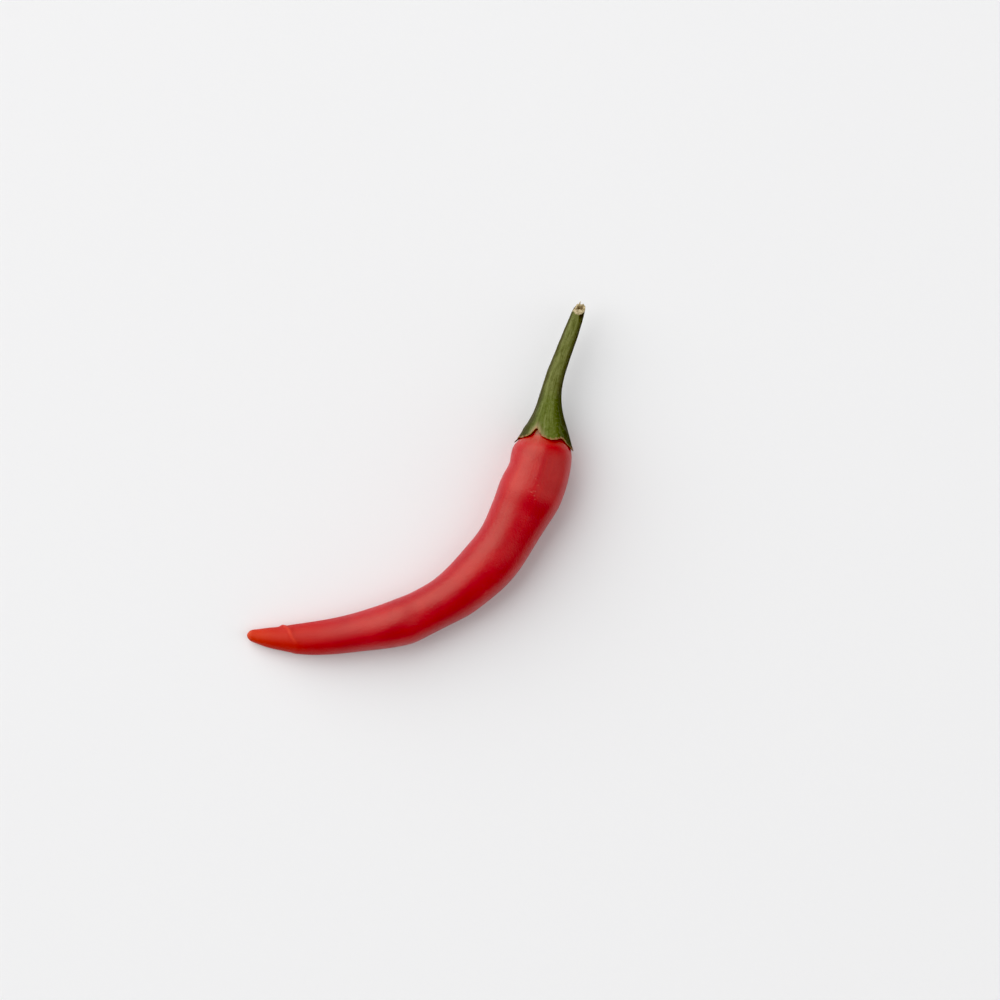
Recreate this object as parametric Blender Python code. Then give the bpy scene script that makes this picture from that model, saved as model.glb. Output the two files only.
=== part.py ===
"""A long red chilli, picked with its stalk and lying on its side.

Two bodies share one bent axis: the red fruit, and the green stalk that widens into the calyx, the toothed
cap that grips the top of the fruit. Places along the axis are counted from the cut end of the stalk to the
tip of the fruit, and angles round it from the top, growing towards the outside of the bend. +X points from
the cut end to the tip, +Y to the outside of the bend and +Z up. The chilli lies on z = 0, with the middle of
its footprint at the origin. Values are in millimetres and degrees, and the finished meshes in metres.
"""

import bisect
import math

import bmesh
import bpy

MM = 0.001

# The axis seen from above: its direction at places along it
LENGTH = 134.9
HEADINGS = (
    (0, 28.0), (12, 24.5), (22, 31.5), (34, 40.5), (46, 23.5), (60, 16.0),
    (72, -0.5), (86, -15.0), (100, -29.5), (116, -39.0), (134, -53.5),
)
CUT_END = (-58.43, -17.89)
TRACK_STEP = 0.5

# The fruit's radius at places along the axis, and the round of its two ends
FRUIT_TOP = 29.0
FRUIT_RADII = (
    (29, 4.9), (33.5, 5.3), (36.5, 7.0), (39, 7.5), (48, 8.0), (54, 7.5), (61, 7.0), (69, 6.95),
    (79, 6.25), (90, 5.75), (95, 5.8), (106, 5.0), (115, 4.4), (119, 4.1), (123, 3.65), (126, 3.15),
    (129.5, 2.6), (132.5, 1.9), (134.9, 1.3),
)
TOP_ROUND = 3.5
TIP_ROUND = 1.5

# Three low lobes run down the fruit from its shoulder, with a valley along the top
LOBES = ((29, 0.0), (35, 0.0), (41, 0.02), (50, 0.03), (62, 0.02), (80, 0.008), (134, 0.0))
VALLEY_ANGLE = 3.0

# Swellings and hollows of the skin: place, angle, height, half length, half width in degrees
SWELLINGS = (
    (31.0, -90, -0.55, 1.8, 45), (38.5, -90, 0.25, 3.0, 40), (43.0, -95, -0.30, 2.5, 35),
    (54.0, -140, 0.30, 6.0, 35), (58.0, 100, -0.25, 6.0, 40), (66.0, 140, -0.30, 5.0, 40),
    (70.0, -80, 0.20, 6.0, 40), (80.0, 95, 0.30, 4.0, 40), (83.0, -85, -0.20, 4.0, 40),
    (94.0, 90, 0.30, 5.0, 45), (101.0, -140, 0.25, 5.0, 40), (108.0, 80, -0.15, 5.0, 40),
)

# A slanting wrinkle rings the fruit near its tip, which is thinner beyond it
WRINKLE = 124.3
WRINKLE_SLANT = 1.6
WRINKLE_RISE = 0.15
WRINKLE_WIDTH = 1.0
TIP_STEP = 0.12

# The underside comes down at three places and is pressed flat there
TOUCHES = (46.0, 82.0, 126.0)
PRESS = 0.25
ARCH = 0.5
STALK_LIFT = 2.6
TIP_DROP = 0.8

# The stalk's radius at places along the axis, flaring into the calyx
RIM = 33.5
STALK_RADII = (
    (0, 1.35), (4, 1.7), (10, 1.9), (17, 2.15), (21, 2.4), (25, 3.2), (29, 4.5), (33.5, 6.1), (38, 7.6),
)
RIB_ANGLES = (-92, -24, 34, 88, 155, -150)
RIB_HEIGHT = 0.09
RIB_WIDTH = 20.0

# A hollow in the flare on the inside of the bend: place, angle, depth, half length, half width in degrees
FLARE_HOLLOW = (28.3, -90, 1.0, 4.8, 45)

# The cut face leans: the place of its middle, how far its edge runs to either side of that, and the angle
# where the edge lies furthest in
CUT_MIDDLE = 0.65
CUT_SLANT = 1.28
CUT_TURN = -12.0

# The rim's teeth and notch: angle, reach towards the tip, half width in degrees
TEETH = (
    (-98, 1.8, 8), (-74, 1.0, 27), (-22, -1.65, 10), (16, 0.85, 22), (82, 2.9, 25), (155, 1.3, 22),
    (-150, 1.3, 20),
)
TOOTH_ROOT = 24.0
GAP = 0.3
WALL = 0.75

# How finely the two bodies are divided
FRUIT_AROUND = 36
FRUIT_ROWS = 76
STALK_AROUND = 60
FACE_ROWS = 2
SIDE_ROWS = 24
INSIDE_ROWS = 8

FRUIT_COLOUR = (0.40, 0.006, 0.010, 1.0)
FRUIT_ROUGHNESS = 0.32
STALK_COLOUR = (0.105, 0.125, 0.030, 1.0)
STALK_ROUGHNESS = 0.62


def clear_scene():
    for thing in list(bpy.data.objects):
        bpy.data.objects.remove(thing, do_unlink=True)


def flow(stations, at):
    """The value at a place on a smooth line through (place, value) stations."""
    places = [place for place, _ in stations]
    values = [value for _, value in stations]
    last = len(places) - 1

    def slope(i):
        before, after = max(i - 1, 0), min(i + 1, last)
        return (values[after] - values[before]) / (places[after] - places[before])

    at = min(max(at, places[0]), places[last])
    i = min(bisect.bisect_right(places, at), last) - 1
    span = places[i + 1] - places[i]
    t = (at - places[i]) / span
    ends = values[i] * (1 + 2 * t) * (1 - t) ** 2 + values[i + 1] * t * t * (3 - 2 * t)
    return ends + span * (slope(i) * t * (1 - t) ** 2 - slope(i + 1) * t * t * (1 - t))


def hump(distance, half_width):
    """A smooth rise, 1 at its middle and 0 from half_width times about 2 outwards."""
    return math.exp(-((distance / half_width) ** 2))


def turn_between(angle, other):
    return (angle - other + 180.0) % 360.0 - 180.0


def axis_track():
    """Places of the axis in plan, every TRACK_STEP, found by walking along its headings."""
    x, y = CUT_END
    track = [(x, y)]
    for step in range(int(LENGTH / TRACK_STEP) + 2):
        heading = math.radians(flow(HEADINGS, (step + 0.5) * TRACK_STEP))
        x += TRACK_STEP * math.cos(heading)
        y += TRACK_STEP * math.sin(heading)
        track.append((x, y))
    return track


TRACK = axis_track()


def axis_plan(at):
    """The axis in plan: before the cut end it runs straight back."""
    step = max(0, min(int(at / TRACK_STEP), len(TRACK) - 2))
    share = at / TRACK_STEP - step
    (x0, y0), (x1, y1) = TRACK[step], TRACK[step + 1]
    return x0 + (x1 - x0) * share, y0 + (y1 - y0) * share


def round_end(distance, reach):
    """The narrowing of a round end: 0 at the end itself, 1 from reach onwards."""
    share = 1.0 - min(max(distance / reach, 0.0), 1.0)
    return math.sqrt(1.0 - share * share)


def fruit_radius(at, angle):
    radius = flow(FRUIT_RADII, at) * round_end(at - FRUIT_TOP, TOP_ROUND) * round_end(LENGTH - at, TIP_ROUND)
    radius *= 1.0 - flow(LOBES, at) * math.cos(math.radians(3.0 * (angle - VALLEY_ANGLE)))
    for place, side, height, length, width in SWELLINGS:
        radius += height * hump(at - place, length) * hump(turn_between(angle, side), width)
    turn = math.radians(angle)
    past = at - (WRINKLE - WRINKLE_SLANT * (math.cos(turn) + math.sin(turn)))
    radius += WRINKLE_RISE * hump(past, WRINKLE_WIDTH)
    if past > 0.0:
        radius -= TIP_STEP * min(past / WRINKLE_WIDTH, 1.0) * round_end(LENGTH - at, TIP_ROUND)
    return max(radius, 0.0)


def belly(at):
    """How far the fruit's plain form reaches below its axis."""
    return flow(FRUIT_RADII, at) * (1.0 + flow(LOBES, at))


def axis_height(at):
    """Height of the axis, so that the underside comes down at the touches and arches between them."""
    if at <= TOUCHES[0]:
        share = 1.0 - at / TOUCHES[0]
        return belly(TOUCHES[0]) - PRESS + STALK_LIFT * share * share
    if at >= TOUCHES[-1]:
        share = (at - TOUCHES[-1]) / (LENGTH - TOUCHES[-1])
        return belly(TOUCHES[-1]) - PRESS - TIP_DROP * share * (2.0 - share)
    start = max(touch for touch in TOUCHES if touch <= at)
    end = min(touch for touch in TOUCHES if touch > at)
    swing = math.sin(math.pi * (at - start) / (end - start))
    return belly(at) - PRESS + ARCH * swing * swing


def point_round_axis(at, angle, radius):
    """A point in metres, at a radius and an angle round the axis. Nothing reaches below z = 0."""
    x, y = axis_plan(at)
    heading = math.radians(flow(HEADINGS, at))
    turn = math.radians(angle)
    side = radius * math.sin(turn)
    z = axis_height(at) + radius * math.cos(turn)
    return (x - side * math.sin(heading)) * MM, (y + side * math.cos(heading)) * MM, max(z, 0.0) * MM


def fruit_place(row):
    """Where along the axis a row of the fruit lies: close together at the round ends, even between them."""
    share = row / FRUIT_ROWS
    even = FRUIT_TOP + (LENGTH - FRUIT_TOP) * share
    lean = math.sin(2.0 * math.pi * share) * (LENGTH - FRUIT_TOP) / (2.0 * math.pi)
    return even - 0.6 * lean


def fruit_point(row, angle):
    at = fruit_place(row)
    return point_round_axis(at, angle, fruit_radius(at, angle))


def rim_place(angle):
    """Where the calyx's edge lies at an angle, with its teeth and its notch."""
    place = RIM
    for middle, reach, width in TEETH:
        place += reach * hump(turn_between(angle, middle), width)
    return place


def stalk_radius(at, angle):
    """The outer radius of the stalk, its ribs, its calyx and the teeth that lie on the fruit."""
    ribs = sum(hump(turn_between(angle, middle), RIB_WIDTH) for middle in RIB_ANGLES)
    radius = flow(STALK_RADII, at) * (1.0 + RIB_HEIGHT * (ribs - 0.5))
    place, side, depth, length, width = FLARE_HOLLOW
    radius -= depth * hump(at - place, length) * hump(turn_between(angle, side), width)
    return max(radius, fruit_radius(at, angle) + GAP + WALL)


def calyx_inside(at, angle):
    """The place and radius of the calyx's inner face, a gap away from the fruit along its normal."""
    reach = 0.05
    rise = (fruit_radius(at + reach, angle) - fruit_radius(at - reach, angle)) / (2.0 * reach)
    normal = math.hypot(rise, 1.0)
    return at - GAP * rise / normal, fruit_radius(at, angle) + GAP / normal


def stalk_point(row, angle):
    """A point of the stalk: over the cut face, along the side to the rim, then back inside the calyx."""
    lean = CUT_SLANT * math.cos(math.radians(angle - CUT_TURN))
    cut = CUT_MIDDLE + lean
    if row <= FACE_ROWS:
        share = row / FACE_ROWS
        return point_round_axis(CUT_MIDDLE + lean * share, angle, share * stalk_radius(max(cut, 0.0), angle))
    row -= FACE_ROWS
    rim = rim_place(angle)
    if row <= SIDE_ROWS:
        at = cut + (RIM - cut) * row / SIDE_ROWS
        if at > TOOTH_ROOT:
            at += (rim - RIM) * ((at - TOOTH_ROOT) / (RIM - TOOTH_ROOT)) ** 2
        return point_round_axis(at, angle, stalk_radius(at, angle))
    row -= SIDE_ROWS
    share = (row - 1) / INSIDE_ROWS
    at = FRUIT_TOP + (rim - FRUIT_TOP) * math.cos(0.5 * math.pi * share) ** 1.5
    inside, radius = calyx_inside(at, angle)
    return point_round_axis(inside, angle, radius if share < 1.0 else 0.0)


def closed_body(name, around, rows, place, material):
    """A sphere whose rows of points are taken, pole to pole, to the places of a closed body."""
    mesh = bpy.data.meshes.new(name)
    body = bmesh.new()
    bmesh.ops.create_uvsphere(body, u_segments=around, v_segments=rows, radius=1.0)
    for vert in body.verts:
        row = round(math.acos(max(-1.0, min(1.0, vert.co.z))) / math.pi * rows)
        angle = math.degrees(math.atan2(vert.co.y, vert.co.x))
        vert.co = place(row, angle if 0 < row < rows else 0.0)
    bmesh.ops.triangulate(body, faces=body.faces[:])
    bmesh.ops.recalc_face_normals(body, faces=body.faces[:])
    body.to_mesh(mesh)
    body.free()
    mesh.shade_smooth()
    mesh.materials.append(material)
    thing = bpy.data.objects.new(name, mesh)
    bpy.context.scene.collection.objects.link(thing)
    return thing


def finish(name, colour, roughness):
    material = bpy.data.materials.new(name)
    material.use_nodes = True
    shader = material.node_tree.nodes["Principled BSDF"]
    shader.inputs["Base Color"].default_value = colour
    shader.inputs["Roughness"].default_value = roughness
    shader.inputs["Metallic"].default_value = 0.0
    return material


clear_scene()
red_skin = finish("red_skin", FRUIT_COLOUR, FRUIT_ROUGHNESS)
green_stalk = finish("green_stalk", STALK_COLOUR, STALK_ROUGHNESS)
stalk_rows = FACE_ROWS + SIDE_ROWS + 1 + INSIDE_ROWS
closed_body("fruit", FRUIT_AROUND, FRUIT_ROWS, fruit_point, red_skin)
closed_body("stalk", STALK_AROUND, stalk_rows, stalk_point, green_stalk)
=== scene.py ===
# A long red chilli, picked with its stalk and lying on a pale table under a window's soft light.

import math
import random
from bisect import bisect_right
from functools import lru_cache

import bmesh
import bpy
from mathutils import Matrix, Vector, noise


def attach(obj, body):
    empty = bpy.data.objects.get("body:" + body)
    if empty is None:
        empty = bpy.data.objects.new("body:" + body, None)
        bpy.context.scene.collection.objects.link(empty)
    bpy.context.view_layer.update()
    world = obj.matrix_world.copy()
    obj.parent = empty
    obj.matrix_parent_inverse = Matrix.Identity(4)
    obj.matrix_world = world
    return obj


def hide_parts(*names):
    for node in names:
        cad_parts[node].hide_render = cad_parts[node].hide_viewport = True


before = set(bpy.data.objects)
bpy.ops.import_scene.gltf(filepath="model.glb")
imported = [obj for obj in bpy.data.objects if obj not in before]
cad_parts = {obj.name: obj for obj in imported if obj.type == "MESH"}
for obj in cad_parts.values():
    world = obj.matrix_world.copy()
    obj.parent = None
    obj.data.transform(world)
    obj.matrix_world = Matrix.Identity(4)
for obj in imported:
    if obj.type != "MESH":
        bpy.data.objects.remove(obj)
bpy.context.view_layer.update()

# The fruit
# A long hollow berry that grew as one piece, bent in an open curve, with three low lobes and a slanting
# wrinkle near its orange tip. Its skin is thin, smooth and waxy, and its top has grown on to the calyx.

# Places along the axis are in millimetres from the stalk's cut end. Angles round it are in degrees from the
# top, growing towards the outside of the bend.
MM = 0.001
LENGTH = 134.9

# The axis seen from above: its direction at places along it, and where it starts
HEADINGS = (
    (0, 28.0), (12, 24.5), (22, 31.5), (34, 40.5), (46, 23.5), (60, 16.0),
    (72, -0.5), (86, -15.0), (100, -29.5), (116, -39.0), (134, -53.5),
)
CUT_END = (-58.43, -17.89)
TRACK_STEP = 0.5

# The radius at places along the axis, and the round of the two ends
FRUIT_TOP = 29.0
FRUIT_RADII = (
    (29, 4.9), (33.5, 5.3), (36.5, 7.0), (39, 7.5), (48, 8.0), (54, 7.5), (61, 7.0), (69, 6.95),
    (79, 6.25), (90, 5.75), (95, 5.8), (106, 5.0), (115, 4.4), (119, 4.1), (123, 3.65), (126, 3.15),
    (129.5, 2.6), (132.5, 1.9), (134.9, 1.3),
)
TOP_ROUND = 3.5
TIP_ROUND = 1.5

# Three low lobes from the shoulder on, with a valley along the top
LOBE_COUNT = 3
LOBES = ((29, 0.0), (35, 0.0), (41, 0.02), (50, 0.03), (62, 0.02), (80, 0.008), (134, 0.0))
VALLEY_ANGLE = 3.0

# Swellings and hollows: place, angle, height, half length, half width in degrees
SWELLINGS = (
    (31.0, -90, -0.55, 1.8, 45), (38.5, -90, 0.25, 3.0, 40), (43.0, -95, -0.30, 2.5, 35),
    (54.0, -140, 0.30, 6.0, 35), (58.0, 100, -0.25, 6.0, 40), (66.0, 140, -0.30, 5.0, 40),
    (70.0, -80, 0.20, 6.0, 40), (80.0, 95, 0.30, 4.0, 40), (83.0, -85, -0.20, 4.0, 40),
    (94.0, 90, 0.30, 5.0, 45), (101.0, -140, 0.25, 5.0, 40), (108.0, 80, -0.15, 5.0, 40),
)

# The low swelling of the wrinkle, its slant, and the step down to the thinner tip beyond it
WRINKLE = 124.3
WRINKLE_SLANT = 1.6
WRINKLE_RISE = 0.15
WRINKLE_WIDTH = 1.0
TIP_STEP = 0.12

# The three places where it rests, how far they are pressed flat, and how its arches and ends leave the table
TOUCHES = (46.0, 82.0, 126.0)
PRESS = 0.25
ARCH = 0.5
STALK_LIFT = 2.6
TIP_DROP = 0.8

# The skin's flatter facets and dents, given as the swellings are
FACETS = (
    (37.6, 14, -0.05, 1.1, 9), (40.5, -25, 0.10, 2.5, 16), (43.0, 4, 0.13, 6.0, 9),
    (44.0, 50, 0.13, 8.0, 11), (44.0, 27, -0.06, 7.0, 12), (52.0, 6, -0.12, 3.5, 20),
    (60.0, -14, 0.08, 4.0, 24), (67.0, 2, -0.12, 3.0, 26), (76.0, -10, 0.06, 3.5, 26),
    (88.0, 16, -0.07, 3.5, 28), (97.0, -14, 0.07, 3.5, 26), (106.0, -30, 0.05, 3.0, 32),
)

# The skin's faint waves and ripples, and the radius under which they fade
WAVE_HEIGHT = 0.07
WAVE_LENGTH = 9.0
WAVE_GIRTH = 0.8
RIPPLE_HEIGHT = 0.012
RIPPLE_LENGTH = 2.4
RIPPLE_GIRTH = 2.8
FULL_WAVES = 5.0

# The sharp fold on the wrinkle, with a crease before it. Its least and usual height and how much that varies
# are shares of its rise, and it wanders along the fruit: a ring and a girth pick the noise for each. It is
# whole while the sine of the angle is under FOLD_WHOLE, and gone at 1 above that, where the wrinkle loses a
# share of its own rise too.
FOLD_RISE = 0.12
FOLD_WIDTH = 0.5
FOLD_HEIGHTS = (0.2, 0.8, 2.0)
FOLD_RING = 4.1
FOLD_GIRTH = 2.6
FOLD_WHOLE = -0.7
CREASE_DEPTH = 0.6
WRINKLE_LOSS = 0.8
WANDER = 0.6
WANDER_RING = 1.7
WANDER_GIRTH = 1.8

# How finely it is divided, and how much closer its rows lie at the two ends
FRUIT_AROUND = 160
FRUIT_ROWS = 470
ROW_LEAN = 0.6


@lru_cache(maxsize=None)
def flow(stations, at):
    """The value at a place on a smooth line through (place, value) stations."""
    places = [place for place, _ in stations]
    values = [value for _, value in stations]
    last = len(places) - 1

    def slope(i):
        before, after = max(i - 1, 0), min(i + 1, last)
        return (values[after] - values[before]) / (places[after] - places[before])

    at = min(max(at, places[0]), places[last])
    i = min(bisect_right(places, at), last) - 1
    span = places[i + 1] - places[i]
    t = (at - places[i]) / span
    ends = values[i] * (1 + 2 * t) * (1 - t) ** 2 + values[i + 1] * t * t * (3 - 2 * t)
    return ends + span * (slope(i) * t * (1 - t) ** 2 - slope(i + 1) * t * t * (1 - t))


def hump(distance, half_width):
    return math.exp(-((distance / half_width) ** 2))


def round_hump(angle, middle, height, width):
    """A smooth rise round the axis, about a middle angle."""
    return height * hump((angle - middle + 180.0) % 360.0 - 180.0, width)


def swelling(at, angle, place, middle, height, length, width):
    """A smooth rise of the surface, about a place and a middle angle."""
    return hump(at - place, length) * round_hump(angle, middle, height, width)


def round_end(distance, reach):
    """The narrowing of a round end: 0 at the end itself, 1 from reach onwards."""
    share = 1.0 - min(max(distance / reach, 0.0), 1.0)
    return math.sqrt(1.0 - share * share)


def axis_track():
    """Places of the axis in plan, found by walking along its headings."""
    x, y = CUT_END
    places = [(x, y)]
    for step in range(int(LENGTH / TRACK_STEP) + 2):
        heading = math.radians(flow(HEADINGS, (step + 0.5) * TRACK_STEP))
        x += TRACK_STEP * math.cos(heading)
        y += TRACK_STEP * math.sin(heading)
        places.append((x, y))
    return places


track = axis_track()


@lru_cache(maxsize=None)
def axis_plan(at):
    """The axis in plan. Before the cut end it runs straight back."""
    step = max(0, min(int(at / TRACK_STEP), len(track) - 2))
    share = at / TRACK_STEP - step
    (x0, y0), (x1, y1) = track[step], track[step + 1]
    return x0 + (x1 - x0) * share, y0 + (y1 - y0) * share


def belly(at):
    """How far the fruit's plain form reaches below its axis."""
    return flow(FRUIT_RADII, at) * (1.0 + flow(LOBES, at))


@lru_cache(maxsize=None)
def axis_height(at):
    """Height of the axis: the underside comes down at three places and arches between them."""
    if at <= TOUCHES[0]:
        share = 1.0 - at / TOUCHES[0]
        return belly(TOUCHES[0]) - PRESS + STALK_LIFT * share * share
    if at >= TOUCHES[-1]:
        share = (at - TOUCHES[-1]) / (LENGTH - TOUCHES[-1])
        return belly(TOUCHES[-1]) - PRESS - TIP_DROP * share * (2.0 - share)
    start = max(touch for touch in TOUCHES if touch <= at)
    end = min(touch for touch in TOUCHES if touch > at)
    swing = math.sin(math.pi * (at - start) / (end - start))
    return belly(at) - PRESS + ARCH * swing * swing


def round_axis(at, angle, radius):
    """A point in metres, at a radius and an angle round the axis. Nothing reaches below the table."""
    x, y = axis_plan(at)
    heading = math.radians(flow(HEADINGS, at))
    turn = math.radians(angle)
    side = radius * math.sin(turn)
    z = axis_height(at) + radius * math.cos(turn)
    return Vector((x - side * math.sin(heading), y + side * math.cos(heading), max(z, 0.0))) * MM


def unbent(at, angle, girth=1.0):
    """Where a point would be on a straight rod, so that a pattern can follow the bend without a seam."""
    turn = math.radians(angle)
    return Vector((girth * math.cos(turn), girth * math.sin(turn), at))


def waves(at, angle, girth):
    """Soft noise, about -1 to 1, on a straight rod: a larger girth gives more waves round it."""
    return noise.noise(unbent(at, angle, girth))


def past_wrinkle(at, angle):
    """How far a place lies beyond the slanting wrinkle."""
    turn = math.radians(angle)
    return at - WRINKLE + WRINKLE_SLANT * (math.cos(turn) + math.sin(turn))


def fruit_radius(at, angle):
    """The radius of the fruit's main form, with its lobes, swellings and wrinkle."""
    radius = flow(FRUIT_RADII, at) * round_end(at - FRUIT_TOP, TOP_ROUND) * round_end(LENGTH - at, TIP_ROUND)
    radius *= 1.0 - flow(LOBES, at) * math.cos(math.radians(LOBE_COUNT * (angle - VALLEY_ANGLE)))
    radius += sum(swelling(at, angle, *values) for values in SWELLINGS)
    past = past_wrinkle(at, angle)
    radius += WRINKLE_RISE * hump(past, WRINKLE_WIDTH)
    if past > 0.0:
        radius -= TIP_STEP * min(past / WRINKLE_WIDTH, 1.0) * round_end(LENGTH - at, TIP_ROUND)
    return max(radius, 0.0)


def skin_radius(at, angle):
    """The radius of the skin, with its flatter facets and its faint waves."""
    radius = fruit_radius(at, angle)
    strength = min(radius / FULL_WAVES, 1.0)
    radius += sum(swelling(at, angle, *values) for values in FACETS)
    radius += WAVE_HEIGHT * waves(at / WAVE_LENGTH, angle, WAVE_GIRTH) * strength
    return radius + RIPPLE_HEIGHT * waves(at / RIPPLE_LENGTH, angle, RIPPLE_GIRTH) * strength


def fold_relief(past, angle):
    """What the fold and its crease add to the radius, less what the wrinkle loses where they are gone."""
    gone = min(max(math.sin(math.radians(angle)) - FOLD_WHOLE, 0.0), 1.0)
    least, usual, varied = FOLD_HEIGHTS
    fold = max(least, usual + varied * waves(FOLD_RING, angle, FOLD_GIRTH)) * hump(past, FOLD_WIDTH)
    fold -= CREASE_DEPTH * hump(past + 2.0 * FOLD_WIDTH, FOLD_WIDTH)
    return FOLD_RISE * fold * (1.0 - gone) - WRINKLE_LOSS * WRINKLE_RISE * hump(past, WRINKLE_WIDTH) * gone


def fruit_skin(row, angle):
    """A point of the skin. Its mark is how far it lies past the fold."""
    share = row / FRUIT_ROWS
    lean = math.sin(2.0 * math.pi * share) * (LENGTH - FRUIT_TOP) / (2.0 * math.pi)
    at = FRUIT_TOP + (LENGTH - FRUIT_TOP) * share - ROW_LEAN * lean
    past = past_wrinkle(at, angle) + WANDER * waves(WANDER_RING, angle, WANDER_GIRTH)
    return at, skin_radius(at, angle) + fold_relief(past, angle), (past, 0.0, 0.0)


def closed_body(name, around, rows, skin):
    """A ball whose rings are drawn out along the axis, from one pole to the other.

    skin gives the place, the radius and the marks of a point. Materials read two attributes: unbent, the
    point's direction round the axis in X and Y and its place in Z, and marks, up to three distances.
    """
    mesh = bpy.data.meshes.new(name)
    body = bmesh.new()
    bmesh.ops.create_uvsphere(body, u_segments=around, v_segments=rows, radius=1.0)
    straight = body.verts.layers.float_vector.new("unbent")
    marks = body.verts.layers.float_vector.new("marks")
    for vert in body.verts:
        row = round(math.acos(max(-1.0, min(1.0, vert.co.z))) / math.pi * rows)
        angle = math.degrees(math.atan2(vert.co.y, vert.co.x)) if 0 < row < rows else 0.0
        at, radius, vert[marks] = skin(row, angle)
        vert[straight] = unbent(at, angle)
        vert.co = round_axis(at, angle, radius)
    bmesh.ops.recalc_face_normals(body, faces=body.faces[:])
    body.to_mesh(mesh)
    body.free()
    mesh.shade_smooth()
    piece = bpy.data.objects.new(name, mesh)
    bpy.context.scene.collection.objects.link(piece)
    return piece


class Shade:
    """One output of a shader node. Arithmetic on it adds Math nodes, and node() adds any other kind."""

    def __init__(self, socket):
        self.socket = socket

    def node(self, kind, settings=None, inputs=None, out=0):
        """Add a node: its settings come first, then the values or links of its sockets."""
        tree = self.socket.id_data
        new = tree.nodes.new(kind)
        for name, value in (settings or {}).items():
            setattr(new, name, value)
        for name, value in (inputs or {}).items():
            if isinstance(value, Shade):
                tree.links.new(value.socket, new.inputs[name])
            else:
                new.inputs[name].default_value = value
        return Shade(new.outputs[out])

    def maths(self, operation, first, second):
        return self.node("ShaderNodeMath", {"operation": operation}, {0: first, 1: second})

    def __add__(self, other):
        return self.maths("ADD", self, other)

    def __radd__(self, other):
        return self.maths("ADD", other, self)

    def __sub__(self, other):
        return self.maths("SUBTRACT", self, other)

    def __rsub__(self, other):
        return self.maths("SUBTRACT", other, self)

    def __mul__(self, other):
        return self.maths("MULTIPLY", self, other)

    def __rmul__(self, other):
        return self.maths("MULTIPLY", other, self)

    def attribute(self, name):
        """The vector that the mesh carries under a name."""
        return self.node("ShaderNodeAttribute", {"attribute_name": name}, None, 1)

    def between(self, low, high):
        """0 below low and 1 above high, with a smooth rise; high may be the lower of the two."""
        ends = {"Value": self, "From Min": low, "From Max": high}
        return self.node("ShaderNodeMapRange", {"interpolation_type": "SMOOTHSTEP"}, ends)

    def part(self, axis):
        return self.node("ShaderNodeSeparateXYZ", None, {0: self}, "XYZ".index(axis))

    def facing(self, angle):
        """On the unbent place: 1 along the line at an angle round the axis, and less to either side."""
        turn = math.radians(angle)
        return self.part("X") * math.cos(turn) + self.part("Y") * math.sin(turn)

    def stretched(self, around, along):
        """The unbent place with scales of its own round the axis and along it."""
        scales = {0: self, 1: (around, around, along)}
        return self.node("ShaderNodeVectorMath", {"operation": "MULTIPLY"}, scales)

    def clouds(self, scale, detail, roughness=0.5):
        """Soft noise at a place, 0 to 1."""
        inputs = {"Vector": self, "Scale": scale, "Detail": detail, "Roughness": roughness}
        return self.node("ShaderNodeTexNoise", None, inputs)

    def mixed(self, first, second):
        """The first colour where this is 0 and the second where it is 1."""
        return self.node("ShaderNodeMix", {"data_type": "RGBA"}, {0: self, 6: first, 7: second}, 2)

    def bump(self, strength, distance):
        """The normal of a surface that this height raises."""
        return self.node("ShaderNodeBump", None, {"Strength": strength, "Distance": distance, "Height": self})


def new_material(name):
    """A material with its shader and its object coordinates."""
    material = bpy.data.materials.new(name)
    material.use_nodes = True
    tree = material.node_tree
    coordinates = tree.nodes.new("ShaderNodeTexCoord")
    return material, tree.nodes["Principled BSDF"], Shade(coordinates.outputs["Object"])


def feed(shader, **inputs):
    """Set a shader's sockets: a Shade is linked and anything else is its value."""
    for name, value in inputs.items():
        socket = shader.inputs[name.replace("_", " ")]
        if isinstance(value, Shade):
            shader.id_data.links.new(value.socket, socket)
        else:
            socket.default_value = value


DEEP_RED = (0.420, 0.0035, 0.0205, 1.0)
FULL_RED = (0.485, 0.0065, 0.0230, 1.0)
STREAK_RED = (0.55, 0.0080, 0.0160, 1.0)
SHOULDER_RED = (0.54, 0.0130, 0.0150, 1.0)
# The skin's own tan-red tint under the rim, which is also painted light lifting the rim's shade
RIM_TINT_AND_PAINTED_LIGHT = (0.43, 0.0400, 0.0320, 1.0)
WARM_RED = (0.48, 0.0015, 0.0080, 1.0)
TIP_RED = (0.50, 0.0060, 0.0065, 1.0)
TIP_ORANGE = (0.57, 0.0180, 0.0045, 1.0)
# A painted highlight for the fold's edge and a painted shade for its crease
PAINTED_FOLD_HIGHLIGHT = (0.64, 0.0420, 0.0250, 1.0)
PAINTED_CREASE_SHADE = (0.38, 0.0040, 0.0090, 1.0)
POINT_ORANGE = (0.62, 0.0700, 0.0250, 1.0)
SCAR_BROWN = (0.24, 0.085, 0.055, 1.0)
SPECK_PINK = (0.55, 0.10, 0.08, 1.0)
WAX_TINT = (1.0, 0.98, 0.70, 1.0)
FLESH_REACH = (1.0, 0.12, 0.08)
FRUIT_GIRTH = 7.0


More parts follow.
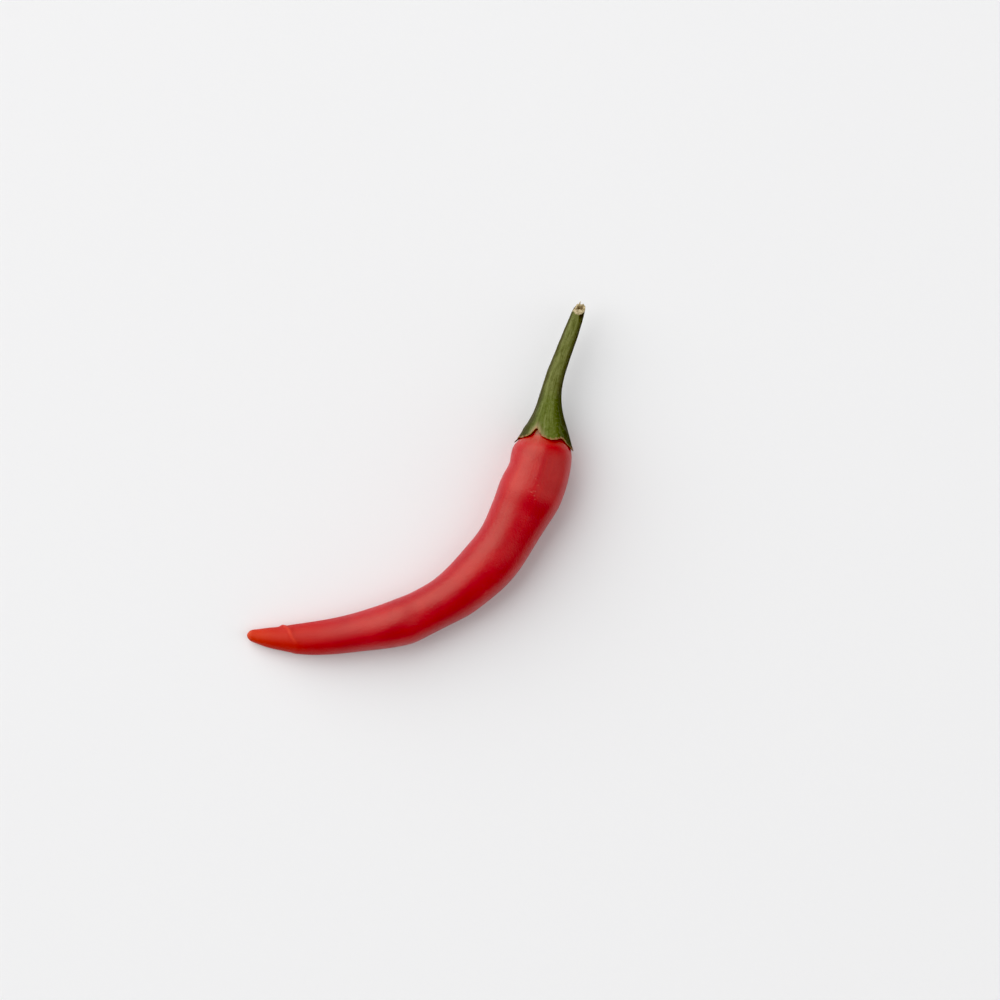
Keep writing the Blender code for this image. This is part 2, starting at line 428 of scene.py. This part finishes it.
def red_skin():
    """Smooth waxy skin, redder at the shoulder and orange at the tip, where its gloss is softer."""
    material, shader, place = new_material("red_skin")
    straight = place.attribute("unbent")
    past = place.attribute("marks").part("X")
    at = straight.part("Z")
    skin = straight.stretched(FRUIT_GIRTH, 1.0)

    patches = skin.clouds(0.12, 3.0)
    streaks = straight.stretched(9.0, 0.12).clouds(1.0, 3.0)
    colour = patches.between(0.35, 0.65).mixed(DEEP_RED, FULL_RED)
    colour = (streaks.between(0.5, 0.75) * 0.3).mixed(colour, STREAK_RED)
    colour = (at.between(40.0, 34.0) * 0.5).mixed(colour, SHOULDER_RED)
    # Under the rim: its own tan-red tint, and painted light that lifts the shade the rim casts
    colour = (at.between(36.4, 34.4) * 0.8).mixed(colour, RIM_TINT_AND_PAINTED_LIGHT)

    # It ripens to orange beyond the fold, with a wandering edge
    wander = skin.clouds(0.4, 3.0)
    colour = ((at + wander * 8.0).between(108.0, 130.0) * 0.8).mixed(colour, WARM_RED)
    colour = ((past + wander * 5.0).between(-1.5, 6.0) * 0.85).mixed(colour, TIP_RED)
    colour = ((at + wander * 3.0).between(128.0, 134.5) * 0.8).mixed(colour, TIP_ORANGE)

    # The fold's lit edge gets a painted highlight and its crease a painted shade, and both end on the outside
    # of the bend
    inside = straight.part("Y").between(0.45, -0.1)
    fold = past.between(-0.8, -0.1) * past.between(0.7, 0.1) * inside
    colour = (fold * (0.15 + skin.clouds(2.2, 2.0) * 0.7)).mixed(colour, PAINTED_FOLD_HIGHLIGHT)
    crease = past.between(-2.2, -1.0) * past.between(-0.2, -1.0) * inside
    colour = (crease * 0.35).mixed(colour, PAINTED_CREASE_SHADE)
    colour = (at.between(LENGTH - 1.6, LENGTH) * 0.8).mixed(colour, POINT_ORANGE)

    # A corky scar shows in the calyx's notch, and a few pale specks on the shoulder
    scar = straight.facing(-18.0).between(0.975, 0.992) * (at + skin.clouds(2.0, 2.0)).between(34.4, 33.5)
    colour = (scar * 0.85).mixed(colour, SCAR_BROWN)
    zone = straight.facing(5.0).between(0.975, 0.995) * at.between(43.5, 45.0) * at.between(50.5, 48.5)
    cells = place.node("ShaderNodeTexVoronoi", None, {"Vector": skin, "Scale": 1.15, "Randomness": 1.0})
    speck = cells.between(0.26, 0.14) * zone
    colour = (speck * 0.5).mixed(colour, SPECK_PINK)

    grain = skin.clouds(2.6, 2.0, 0.6)
    dimples = skin.clouds(0.9, 2.0)
    lines = straight.stretched(22.0, 0.25).clouds(1.0, 2.0)
    relief = grain * 1.9 + dimples * 0.7 + lines * 0.3 + speck * 0.8
    dull = skin.clouds(0.35, 3.0)
    roughness = 0.25 + dull * 0.12 + grain * 0.10 + at.between(95.0, 126.0) * 0.24
    feed(shader, Base_Color=colour, Roughness=roughness, Normal=relief.bump(1.0, 0.00004))
    feed(shader, Specular_IOR_Level=0.66, Specular_Tint=WAX_TINT)
    feed(shader, Subsurface_Weight=0.10, Subsurface_Radius=FLESH_REACH, Subsurface_Scale=0.0010)
    return material


fruit = closed_body("fruit_flesh", FRUIT_AROUND, FRUIT_ROWS, fruit_skin)
fruit.data.materials.append(red_skin())
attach(fruit, "root")
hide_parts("fruit")

# The stalk and its calyx
# One dry, woody green piece with six low ribs. It was cut from the plant at one end, which tore. At the
# other it flares into the calyx, the toothed cap that grips the top of the fruit, with a thin dry tan rim.

# The radius at places along the axis, and the ribs
STALK_RADII = (
    (0, 1.35), (4, 1.7), (10, 1.9), (17, 2.15), (21, 2.4), (25, 3.2), (29, 4.5), (33.5, 6.1), (38, 7.6),
)
RIB_ANGLES = (-92, -24, 34, 88, 155, -150)
RIB_HEIGHT = 0.09
RIB_WIDTH = 20.0

# A hollow in the flare on the inside of the bend: place, angle, depth, half length, half width in degrees
FLARE_HOLLOW = (28.3, -90, 1.0, 4.8, 45)

# Fine cords along the stalk: height, noise along a millimetre, girth of the noise. They wind by a few
# degrees a millimetre up to the calyx.
CORDS = ((0.08, 0.10, 2.2), (0.055, 0.3, 6.0))
TWIST = 3.0
TWIST_END = 22.0

# The cut leans: the place of its middle, how far its edge runs to either side of that, and the angle where
# the edge lies furthest in. The chip out of it: angle, depth, half width in degrees.
CUT_MIDDLE = 0.65
CUT_SLANT = 1.28
CUT_TURN = -12.0
CHIP = (-88, 0.8, 30)

# What stands from the cut face: share of the radius, angle, length, half width. Below 0 it is a pit.
LUMPS = (
    (0.86, -165, 1.0, 0.17), (0.88, -138, 0.45, 0.26), (0.80, 150, 0.55, 0.32), (0.84, 108, 0.50, 0.34),
    (0.80, 62, 0.30, 0.34), (0.78, 0, 0.15, 0.45), (0.30, 175, -0.65, 0.34),
)
FIBRE_COUNT = 26
FIBRE_PLACES = (0.1, 0.95)
FIBRE_LENGTHS = (-0.20, 0.25)
FIBRE_WIDTHS = (0.07, 0.14)
TUFT_HEIGHT = 0.20
TUFT_FINENESS = 2.5
TUFT_LOSS = 0.6

# The rim's teeth and its notch: angle, reach towards the tip, half width in degrees. Then its small jags:
# share of JAG, girth of their noise.
RIM = 33.5
TEETH = (
    (-98, 1.8, 8), (-74, 1.0, 27), (-22, -1.65, 10), (16, 0.85, 22), (82, 2.9, 25), (155, 1.3, 22),
    (-150, 1.3, 20),
)
TOOTH_ROOT = 24.0
JAG = 0.22
JAGS = ((1.0, 3.0), (0.6, 9.0), (0.5, 22.0))
JAG_RING = 7.3

# The calyx's wall, thinner towards the rim, its gap to the fruit, the bulge of its edge, and how softly the
# stalk runs into it
WALL = 0.75
RIM_WALL = 0.25
LIP_RUN = 3.0
SNUG = 0.03
EDGE_BULGE = 0.12
CAP_BLEND = 0.25

# The two dry tips that have lifted: angle, height, half width in degrees, and over what length
PEELED = ((84, 0.35, 15), (-98, 0.40, 9))
PEEL_RUN = 2.0

# How finely it is divided, how its inner rows gather at the top of the fruit, and a mark for far from the rim
STALK_AROUND = 180
FACE_ROWS = 30
SIDE_ROWS = 280
EDGE_ROWS = 6
INSIDE_ROWS = 40
INSIDE_GATHER = 1.5
FAR = 9.0


def rim_place(angle):
    """Where the calyx's edge lies at an angle, with its teeth, its notch and small jags."""
    teeth = sum(round_hump(angle, *values) for values in TEETH)
    jags = sum(share * waves(JAG_RING, angle, girth) for share, girth in JAGS)
    return RIM + teeth + JAG * jags


def cut_place(angle):
    """Where the edge of the leaning cut lies at an angle, with the chip out of it."""
    return CUT_MIDDLE + CUT_SLANT * math.cos(math.radians(angle - CUT_TURN)) + round_hump(angle, *CHIP)


def peel(at, angle):
    """How far the dry tips of two teeth have lifted from the fruit."""
    share = min(max((at - RIM) / PEEL_RUN, 0.0), 1.0)
    return sum(round_hump(angle, *values) for values in PEELED) * share * share


def larger(first, second, soft):
    """The larger of two radii, with the corner between them rounded over."""
    share = min(max(0.5 + 0.5 * (second - first) / soft, 0.0), 1.0)
    return first + (second - first) * share + soft * share * (1.0 - share) * 0.5


def stalk_radius(at, angle, rim):
    """The outer radius: the stalk with its ribs and fine cords, or the thin cap lying on the fruit."""
    ribs = sum(round_hump(angle, middle, 1.0, RIB_WIDTH) for middle in RIB_ANGLES)
    radius = flow(STALK_RADII, at) * (1.0 + RIB_HEIGHT * (ribs - 0.5)) - swelling(at, angle, *FLARE_HOLLOW)
    wound = angle + TWIST * max(TWIST_END - at, 0.0)
    radius += sum(height * waves(at * pace, wound, girth) for height, pace, girth in CORDS)
    lip = RIM_WALL + (WALL - RIM_WALL) * min(max((rim - at) / LIP_RUN, 0.0), 1.0)
    return larger(radius, fruit_radius(at, angle) + lip + peel(at, angle), CAP_BLEND)


def torn_fibres():
    """The lumps of the cut face, and finer fibres scattered among them."""
    pick = random.Random(7)
    torn = list(LUMPS)
    for _ in range(FIBRE_COUNT):
        near, towards = pick.uniform(*FIBRE_PLACES), pick.uniform(-180, 180)
        torn.append((near, towards, pick.uniform(*FIBRE_LENGTHS), pick.uniform(*FIBRE_WIDTHS)))
    return torn


fibres = torn_fibres()


def cut_face(share, angle, cut, rim):
    """A point of the torn face, from its middle at 0 to its edge at 1."""
    radius = share * stalk_radius(max(cut, 0.0), angle, rim)
    spot = unbent(0.0, angle, radius)
    tuft = TUFT_HEIGHT * noise.noise(spot * TUFT_FINENESS) * (1.0 - TUFT_LOSS * share)
    for near, towards, length, width in fibres:
        tuft -= length * hump((spot - unbent(0.0, towards, near * STALK_RADII[0][1])).length, width)
    return CUT_MIDDLE + (cut - CUT_MIDDLE) * share + tuft, radius, (share - 1.0, FAR, 0.0)


def calyx_edge(share, angle, rim):
    """A point of the rim's rounded edge, from its outer side at 0 to the fruit at 1."""
    turn = 0.5 * math.pi * share
    snug = skin_radius(rim, angle) + SNUG + peel(rim, angle)
    radius = snug + (stalk_radius(rim, angle, rim) - snug) * math.cos(turn)
    return rim + EDGE_BULGE * math.sin(2.0 * turn), radius, (rim, 0.0, 0.0)


def calyx_inside(share, angle, rim):
    """A point inside the calyx, close over the fruit, from the rim at 0 to the top of the fruit at 1."""
    at = FRUIT_TOP - SNUG + (rim - FRUIT_TOP + SNUG) * math.cos(0.5 * math.pi * share) ** INSIDE_GATHER
    radius = skin_radius(at + SNUG, angle) + SNUG + peel(at, angle)
    return at, (radius if share < 1.0 else 0.0), (rim, 0.0, 0.0)


def stalk_skin(row, angle):
    """A point of the stalk: over the cut face, along the side to the rim, then back inside the calyx.

    Its marks are how far it lies from the cut's edge, below 0 on the face, and how far from the rim.
    """
    cut, rim = cut_place(angle), rim_place(angle)
    if row <= FACE_ROWS:
        return cut_face(row / FACE_ROWS, angle, cut, rim)
    row -= FACE_ROWS
    if row <= SIDE_ROWS:
        at = cut + (RIM - cut) * row / SIDE_ROWS
        if at > TOOTH_ROOT:
            at += (rim - RIM) * ((at - TOOTH_ROOT) / (RIM - TOOTH_ROOT)) ** 2
        return at, stalk_radius(at, angle, rim), (at - cut, rim - at, 0.0)
    row -= SIDE_ROWS
    if row <= EDGE_ROWS:
        return calyx_edge(row / EDGE_ROWS, angle, rim)
    return calyx_inside((row - EDGE_ROWS) / (INSIDE_ROWS + 1), angle, rim)


STALK_GREEN = (0.145, 0.158, 0.047, 1.0)
PALE_GREEN = (0.214, 0.225, 0.077, 1.0)
# A brown painted shade for the side away from the window
BROWN_AND_PAINTED_SHADE = (0.066, 0.058, 0.018, 1.0)
LEFT_BROWN = (0.050, 0.042, 0.013, 1.0)
EDGE_BROWN = (0.036, 0.031, 0.010, 1.0)
UNDER_BROWN = (0.050, 0.046, 0.014, 1.0)
FLARE_GREEN = (0.108, 0.146, 0.024, 1.0)
# Painted shade for the flare's side away from the window
FLARE_PAINTED_SHADE = (0.038, 0.050, 0.007, 1.0)
FLARE_LEFT = (0.062, 0.068, 0.022, 1.0)
MOTTLE_PALE = (0.240, 0.270, 0.110, 1.0)
MOTTLE_DARK = (0.048, 0.058, 0.012, 1.0)
STREAK_DARK = (0.062, 0.070, 0.014, 1.0)
STREAK_PALE = (0.250, 0.262, 0.100, 1.0)
THREAD_DARK = (0.050, 0.050, 0.014, 1.0)
NOTCH_TAN = (0.36, 0.28, 0.150, 1.0)
DRY_BROWN = (0.22, 0.110, 0.045, 1.0)
DRY_TAN = (0.40, 0.225, 0.120, 1.0)
TIP_BROWN = (0.17, 0.080, 0.035, 1.0)
TIP_DARK = (0.10, 0.040, 0.020, 1.0)
# A bruise darkened further by painted shadow
BRUISE_AND_PAINTED_SHADOW = (0.032, 0.023, 0.010, 1.0)
PITH_TAN = (0.32, 0.250, 0.130, 1.0)
PITH_CREAM = (0.66, 0.55, 0.34, 1.0)
PIT_BROWN = (0.13, 0.085, 0.035, 1.0)


def green_stalk():
    """Dull green with fine lengthwise streaks, browner below, a tan dry rim and a cream cut end."""
    material, shader, place = new_material("green_stalk")
    straight = place.attribute("unbent")
    marks = place.attribute("marks")
    from_cut, from_rim = marks.part("X"), marks.part("Y")
    top, side, at = straight.part("X"), straight.part("Y"), straight.part("Z")
    blotches = straight.stretched(2.2, 0.30).clouds(1.0, 4.0)
    streaks = straight.stretched(8.0, 0.12).clouds(1.0, 5.0, 0.6)
    ragged = side + blotches * 0.40 + streaks * 0.50 - 0.45
    colour = blotches.between(0.3, 0.7).mixed(STALK_GREEN, PALE_GREEN)

    # The outside of the bend is browner and has painted shade. The flare is greener than the stalk.
    right = ragged.between(0.25, 0.75)
    colour = (right * 0.75).mixed(colour, BROWN_AND_PAINTED_SHADE)
    flare = at.between(20.0, 26.0)
    colour = (flare * 0.6).mixed(colour, FLARE_GREEN)
    # The flare is darker to both sides: painted shade on its right, and a darker tone on its left
    colour = (flare * right * 0.7).mixed(colour, FLARE_PAINTED_SHADE)
    colour = (flare * ragged.between(-0.20, -0.75) * 0.6).mixed(colour, FLARE_LEFT)
    mottled = place.clouds(1400.0, 3.0, 0.6)
    colour = (mottled.between(0.52, 0.70) * 0.30).mixed(colour, MOTTLE_PALE)
    colour = (mottled.between(0.48, 0.30) * 0.35).mixed(colour, MOTTLE_DARK)

    # Streaks and threads run along it, and its sides and underside are browner, with a ragged edge
    colour = (streaks.between(0.46, 0.32) * 0.6).mixed(colour, STREAK_DARK)
    colour = (streaks.between(0.55, 0.70) * 0.55).mixed(colour, STREAK_PALE)
    threads = straight.stretched(22.0, 0.35).clouds(1.0, 4.0, 0.6)
    colour = (threads.between(0.45, 0.32) * 0.6).mixed(colour, THREAD_DARK)
    colour = (ragged.between(-0.55, -0.90) * 0.75).mixed(colour, LEFT_BROWN)
    colour = (ragged.between(0.75, 0.96) * 0.80).mixed(colour, EDGE_BROWN)
    under = (top + blotches * 0.5 + streaks * 0.4).between(0.65, 0.25)
    colour = (under * 0.80).mixed(colour, UNDER_BROWN)

    # The rim has dried tan, most of all at its notch, and the longest tips brown
    rays = straight.stretched(12.0, 0.3).clouds(1.0, 3.0)
    pale = from_rim.between(2.4, 0.3) * straight.facing(-22.0).between(0.90, 0.99) * (0.25 + rays * 1.1)
    colour = (pale * 0.8).mixed(colour, NOTCH_TAN)
    uneven = straight.stretched(9.0, 0.9).clouds(1.0, 3.0, 0.6)
    margin = (from_rim - uneven * 0.8).between(0.10, -0.25)
    dry = uneven.between(0.35, 0.65).mixed(DRY_BROWN, DRY_TAN)
    colour = (margin * (0.35 + uneven * 0.9)).mixed(colour, dry)
    tip = (at - 35.0).between(-0.3, 0.5)
    colour = (tip * 0.7 * from_rim.between(0.9, 0.4)).mixed(colour, TIP_BROWN)
    colour = (tip * side.between(-0.85, -0.95)).mixed(colour, TIP_DARK)

    # The cut end is darker on one side, a bruise with painted shadow, and its pith is cream with a darker pit
    bruise_and_shadow = (from_cut + blotches * 2.0).between(3.4, 1.6) * side.between(0.0, 0.5) * (0.5 + threads)
    colour = (bruise_and_shadow * 0.95).mixed(colour, BRUISE_AND_PAINTED_SHADOW)
    pith = place.clouds(1800.0, 3.0, 0.6).between(0.35, 0.65).mixed(PITH_TAN, PITH_CREAM)
    pit = from_cut.between(-0.22, -0.50) * top.between(0.35, -0.25)
    pith = (pit * 0.85).mixed(pith, PIT_BROWN)
    skinned = side.between(-0.30, -0.80) * 0.40 - blotches * 0.6
    colour = (from_cut + skinned).between(0.15, -0.10).mixed(colour, pith)

    strands = straight.stretched(14.0, 0.5).clouds(1.0, 4.0, 0.65)
    pores = place.clouds(900.0, 3.0, 0.6)
    relief = strands * 1.4 + pores * 0.6 + streaks * 0.8
    feed(shader, Base_Color=colour, Roughness=0.56 + pores * 0.2, Normal=relief.bump(0.9, 0.00012))
    feed(shader, Specular_IOR_Level=0.25)
    return material


STALK_ROWS = FACE_ROWS + SIDE_ROWS + EDGE_ROWS + 1 + INSIDE_ROWS
stalk = closed_body("stalk_with_calyx", STALK_AROUND, STALK_ROWS, stalk_skin)
stalk.data.materials.append(green_stalk())
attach(stalk, "root")
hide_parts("stalk")

# The table top
# A plain pale sheet with a fine tooth, far wider than the view.
# It isn't part of the chilli, which only lies on it.

TABLE_REACH = 3.0
SHEET_WHITE = (0.88, 0.88, 0.885, 1.0)


def pale_sheet():
    material, shader, place = new_material("pale_sheet")
    tooth = place.clouds(900.0, 3.0, 0.6)
    feed(shader, Base_Color=SHEET_WHITE, Roughness=0.85, Normal=tooth.bump(0.12, 0.0001))
    feed(shader, Specular_IOR_Level=0.2)
    return material


table_mesh = bpy.data.meshes.new("table")
sheet = bmesh.new()
bmesh.ops.create_grid(sheet, x_segments=1, y_segments=1, size=TABLE_REACH)
sheet.to_mesh(table_mesh)
sheet.free()
table_mesh.materials.append(pale_sheet())
table = bpy.data.objects.new("table", table_mesh)
bpy.context.scene.collection.objects.link(table)

# The light and the camera
# A large window to the upper left and a faint pale card to the right stand some 45 degrees above the table.
# The camera looks straight down, turned so that the stalk lies at the upper right and the tip at the left.

TURN = math.radians(135.5)
LIGHT_DISTANCE = 5.0
SURROUND_WHITE = (1.0, 1.0, 1.0, 1.0)
SURROUND_STRENGTH = 0.350
BLACK_LEVEL = 0.031

# The view is FRAME_WIDTH wide at FRAME_HEIGHT above the table, about the fruit's middle height
FRAME_MIDDLE = (-0.01043, 0.00251)
FRAME_WIDTH = 0.250
FRAME_HEIGHT = 0.007
CAMERA_RISE = 0.70


def towards(across, up, height):
    """A direction given as the camera sees it, in the object's own axes."""
    across_axis = Vector((math.cos(TURN), math.sin(TURN), 0.0))
    up_axis = Vector((-math.sin(TURN), math.cos(TURN), 0.0))
    return (across_axis * across + up_axis * up + Vector((0.0, 0.0, height))).normalized()


def soft_light(name, direction, width, height, power):
    """A large flat light that faces the chilli from a direction."""
    lamp = bpy.data.lights.new(name, "AREA")
    lamp.shape = "RECTANGLE"
    lamp.size = width
    lamp.size_y = height
    lamp.energy = power
    light = bpy.data.objects.new(name, lamp)
    light.location = direction * LIGHT_DISTANCE
    light.rotation_euler = direction.to_track_quat("Z", "Y").to_euler()
    bpy.context.scene.collection.objects.link(light)


soft_light("window", towards(-0.74, 0.66, 0.90), width=7.6, height=6.8, power=330.0)
soft_light("card", towards(0.90, -0.10, 0.90), width=2.6, height=7.2, power=56.0)

world = bpy.data.worlds.new("studio")
world.use_nodes = True
world.node_tree.nodes["Background"].inputs["Color"].default_value = SURROUND_WHITE
world.node_tree.nodes["Background"].inputs["Strength"].default_value = SURROUND_STRENGTH
bpy.context.scene.world = world
view = bpy.context.scene.view_settings
view.view_transform = "Standard"
view.use_curve_mapping = True
view.curve_mapping.black_level = (BLACK_LEVEL, BLACK_LEVEL, BLACK_LEVEL)
view.curve_mapping.update()

lens = bpy.data.cameras.new("camera")
lens.sensor_width = 36.0
lens.lens = lens.sensor_width * CAMERA_RISE / FRAME_WIDTH
camera = bpy.data.objects.new("camera", lens)
camera.location = (FRAME_MIDDLE[0], FRAME_MIDDLE[1], CAMERA_RISE + FRAME_HEIGHT)
camera.rotation_euler = (0.0, 0.0, TURN)
bpy.context.scene.collection.objects.link(camera)
bpy.context.scene.camera = camera
